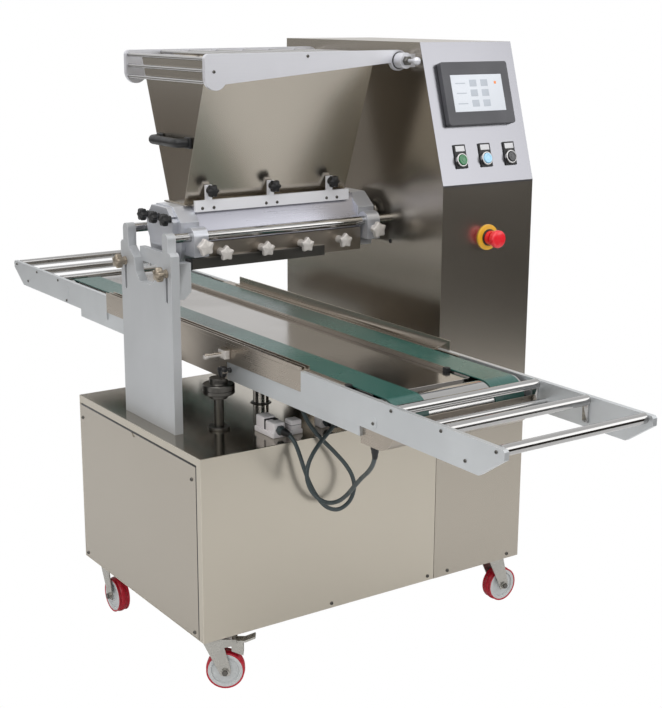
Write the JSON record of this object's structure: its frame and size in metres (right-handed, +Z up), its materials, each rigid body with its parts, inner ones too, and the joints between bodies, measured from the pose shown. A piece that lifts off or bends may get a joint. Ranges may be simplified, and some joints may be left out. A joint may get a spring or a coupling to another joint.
{
  "type": "cream filling machine",
  "caption": "Wheeled cream filling machine: hopper over a roller depositing head, lifting belt conveyor for trays beneath it, and a control tower beside them.",
  "frame": {"origin": "on the floor, under the middle of the machine's box", "axes": "+Z up, -Y towards the operator's front, +X towards the control tower, the conveyor along Y"},
  "size_m": [0.895, 2.06, 1.341],
  "materials": {
    "satin_steel": "satin folded sheet",
    "panel_plastic": "touch panel frame, matte",
    "bezel_metal": "bright button bezels",
    "button_green": "gloss",
    "button_blue": "translucent cap",
    "button_black": "gloss",
    "estop_yellow": "gloss",
    "estop_red": "gloss",
    "zinc": "zinc plated",
    "wheel_red": "moulded tread on a pale hub",
    "support_grey": "matte machined plate",
    "chromed_bar": "hard chromed",
    "dark_steel": "brushed",
    "brass_tone": "turned, warm",
    "head_plate": "satin",
    "black_knob": "moulded",
    "roller_steel": "ground",
    "machine_grey": "painted casting",
    "pale_steel": "polished",
    "hopper_steel": "satin sheet",
    "guard_pale": "satin anodised",
    "rail_steel": "satin folded sheet",
    "bed_steel": "polished",
    "belt_green": "smooth belt",
    "plate_aluminium": "satin anodised",
    "connector_pale": "moulded",
    "cable_grey": "cable sheath"
  },
  "bodies": {
    "base": {"cabinet_shell": "satin_steel", "service_panels": "satin_steel", "tower_shell": "satin_steel", "hmi_panel": "panel_plastic", "button_bezels": "bezel_metal", "estop_collar": "estop_yellow", "caster_plates": "zinc", "support_plate": "support_grey", "guide_rods": "chromed_bar", "front_rail": "dark_steel", "end_plates": "head_plate", "trough": "head_plate", "roller_cover": "head_plate", "cover_knobs": "black_knob", "nozzle_bar": "head_plate", "drive_unit": "machine_grey", "hopper_strips": "pale_steel", "hopper_knobs": "black_knob", "hopper": "hopper_steel", "hopper_handle": "black_knob", "guard_bracket": "guard_pale", "lift_guides": "machine_grey", "connectors": "connector_pale", "cable_a": "cable_grey", "cable_b": "cable_grey"},
    "conveyor": {"side_rails": "rail_steel", "slider_bed": "bed_steel", "belts": "belt_green", "extension_plates": "plate_aluminium", "tray_bars": "chromed_bar", "guide_strips": "rail_steel", "drum_covers": "rail_steel", "lift_columns": "dark_steel"},
    "drive_drum": {"drive_drum": "chromed_bar"},
    "tail_drum": {"tail_drum": "chromed_bar"},
    "feed_roller_front": {"feed_roller_front": "roller_steel"},
    "feed_roller_rear": {"feed_roller_rear": "roller_steel"},
    "guard": {"guard_plates": "guard_pale", "guard_bars": "guard_pale"},
    "button_green": {"button_green": "button_green"},
    "button_blue": {"button_blue": "button_blue"},
    "button_black": {"button_black": "button_black"},
    "estop_button": {"estop_button": "estop_red"},
    "fork_fl": {"fork_fl": "zinc"},
    "wheel_fl": {"wheel_fl": "wheel_red"},
    "fork_fr": {"fork_fr": "zinc"},
    "wheel_fr": {"wheel_fr": "wheel_red"},
    "fork_bl": {"fork_bl": "zinc"},
    "wheel_bl": {"wheel_bl": "wheel_red"},
    "fork_br": {"fork_br": "zinc"},
    "wheel_br": {"wheel_br": "wheel_red"},
    "brake_pedal": {"brake_pedal": "zinc"},
    "star_knob_1": {"star_knob_1": "pale_steel"},
    "star_knob_2": {"star_knob_2": "pale_steel"},
    "star_knob_3": {"star_knob_3": "pale_steel"},
    "star_knob_4": {"star_knob_4": "pale_steel"},
    "clamp_knob_left": {"clamp_knob_left": "pale_steel"},
    "clamp_knob_right": {"clamp_knob_right": "pale_steel"},
    "yoke_knob_front": {"yoke_knob_front": "brass_tone"},
    "yoke_knob_rear": {"yoke_knob_rear": "brass_tone"}
  },
  "joints": [
    {"name": "table_lift", "type": "slide", "parent": "base", "child": "conveyor", "axis": [0, 0, 1], "range_m": [0, 0.08], "deforming": ["cable_a", "cable_b"]},
    {"name": "drive_drum_turn", "type": "hinge", "parent": "conveyor", "child": "drive_drum", "pos_m": [0, -0.675, 0.6805], "axis": [1, 0, 0], "continuous": true},
    {"name": "tail_drum_turn", "type": "hinge", "parent": "conveyor", "child": "tail_drum", "pos_m": [0, 0.675, 0.6965], "axis": [1, 0, 0], "continuous": true},
    {"name": "feed_front_turn", "type": "hinge", "parent": "base", "child": "feed_roller_front", "pos_m": [0, -0.0255, 0.954], "axis": [1, 0, 0], "continuous": true},
    {"name": "feed_rear_turn", "type": "hinge", "parent": "base", "child": "feed_roller_rear", "pos_m": [0, 0.0255, 0.954], "axis": [1, 0, 0], "continuous": true},
    {"name": "guard_swing", "type": "hinge", "parent": "base", "child": "guard", "pos_m": [0.1365, 0, 1.302], "axis": [0, 1, 0], "range_deg": [0, 90]},
    {"name": "button_green_press", "type": "slide", "parent": "base", "child": "button_green", "axis": [0, 0.9566, -0.2914], "range_m": [0, 0.004], "stiffness_N_per_m": 400},
    {"name": "button_blue_press", "type": "slide", "parent": "base", "child": "button_blue", "axis": [0, 0.9566, -0.2914], "range_m": [0, 0.004], "stiffness_N_per_m": 400},
    {"name": "button_black_press", "type": "slide", "parent": "base", "child": "button_black", "axis": [0, 0.9566, -0.2914], "range_m": [0, 0.004], "stiffness_N_per_m": 400},
    {"name": "estop_press", "type": "slide", "parent": "base", "child": "estop_button", "axis": [0, 1, 0], "range_m": [0, 0.005], "stiffness_N_per_m": 900},
    {"name": "caster_fl_swivel", "type": "hinge", "parent": "base", "child": "fork_fl", "pos_m": [-0.4025, -0.245, 0.118], "axis": [0, 0, 1], "continuous": true},
    {"name": "caster_fl_roll", "type": "hinge", "parent": "fork_fl", "child": "wheel_fl", "pos_m": [-0.37929, -0.26066, 0.042], "axis": [0.5592, 0.829, 0], "continuous": true},
    {"name": "caster_fr_swivel", "type": "hinge", "parent": "base", "child": "fork_fr", "pos_m": [0.3775, -0.245, 0.118], "axis": [0, 0, 1], "continuous": true},
    {"name": "caster_fr_roll", "type": "hinge", "parent": "fork_fr", "child": "wheel_fr", "pos_m": [0.4055, -0.245, 0.042], "axis": [0, 1, 0], "continuous": true},
    {"name": "caster_bl_swivel", "type": "hinge", "parent": "base", "child": "fork_bl", "pos_m": [-0.4025, 0.245, 0.118], "axis": [0, 0, 1], "continuous": true},
    {"name": "caster_bl_roll", "type": "hinge", "parent": "fork_bl", "child": "wheel_bl", "pos_m": [-0.4025, 0.217, 0.042], "axis": [1, 0, 0], "continuous": true},
    {"name": "caster_br_swivel", "type": "hinge", "parent": "base", "child": "fork_br", "pos_m": [0.3775, 0.245, 0.118], "axis": [0, 0, 1], "continuous": true},
    {"name": "caster_br_roll", "type": "hinge", "parent": "fork_br", "child": "wheel_br", "pos_m": [0.3635, 0.22075, 0.042], "axis": [0.866, -0.5, 0], "continuous": true},
    {"name": "brake_press", "type": "hinge", "parent": "fork_fl", "child": "brake_pedal", "pos_m": [-0.36436, -0.27072, 0.1107], "axis": [0.5592, 0.829, 0], "range_deg": [0, 10]},
    {"name": "star_knob_1_turn", "type": "hinge", "parent": "base", "child": "star_knob_1", "pos_m": [-0.279, -0.1, 0.909], "axis": [0, -1, 0], "continuous": true},
    {"name": "star_knob_2_turn", "type": "hinge", "parent": "base", "child": "star_knob_2", "pos_m": [-0.177, -0.1, 0.909], "axis": [0, -1, 0], "continuous": true},
    {"name": "star_knob_3_turn", "type": "hinge", "parent": "base", "child": "star_knob_3", "pos_m": [-0.075, -0.1, 0.909], "axis": [0, -1, 0], "continuous": true},
    {"name": "star_knob_4_turn", "type": "hinge", "parent": "base", "child": "star_knob_4", "pos_m": [0.027, -0.1, 0.909], "axis": [0, -1, 0], "continuous": true},
    {"name": "clamp_knob_left_turn", "type": "hinge", "parent": "base", "child": "clamp_knob_left", "pos_m": [-0.3355, -0.12, 0.928], "axis": [0, -1, 0], "continuous": true},
    {"name": "clamp_knob_right_turn", "type": "hinge", "parent": "base", "child": "clamp_knob_right", "pos_m": [0.1095, -0.12, 0.928], "axis": [0, -1, 0], "continuous": true},
    {"name": "yoke_knob_front_turn", "type": "hinge", "parent": "base", "child": "yoke_knob_front", "pos_m": [-0.42, -0.095, 0.875], "axis": [-1, 0, 0], "continuous": true},
    {"name": "yoke_knob_rear_turn", "type": "hinge", "parent": "base", "child": "yoke_knob_rear", "pos_m": [-0.42, 0.095, 0.875], "axis": [-1, 0, 0], "continuous": true}
  ],
  "couplings": [
    {"joint": "tail_drum_turn", "follows": "drive_drum_turn", "ratio": 1.6154},
    {"joint": "feed_rear_turn", "follows": "feed_front_turn", "ratio": -1}
  ]
}
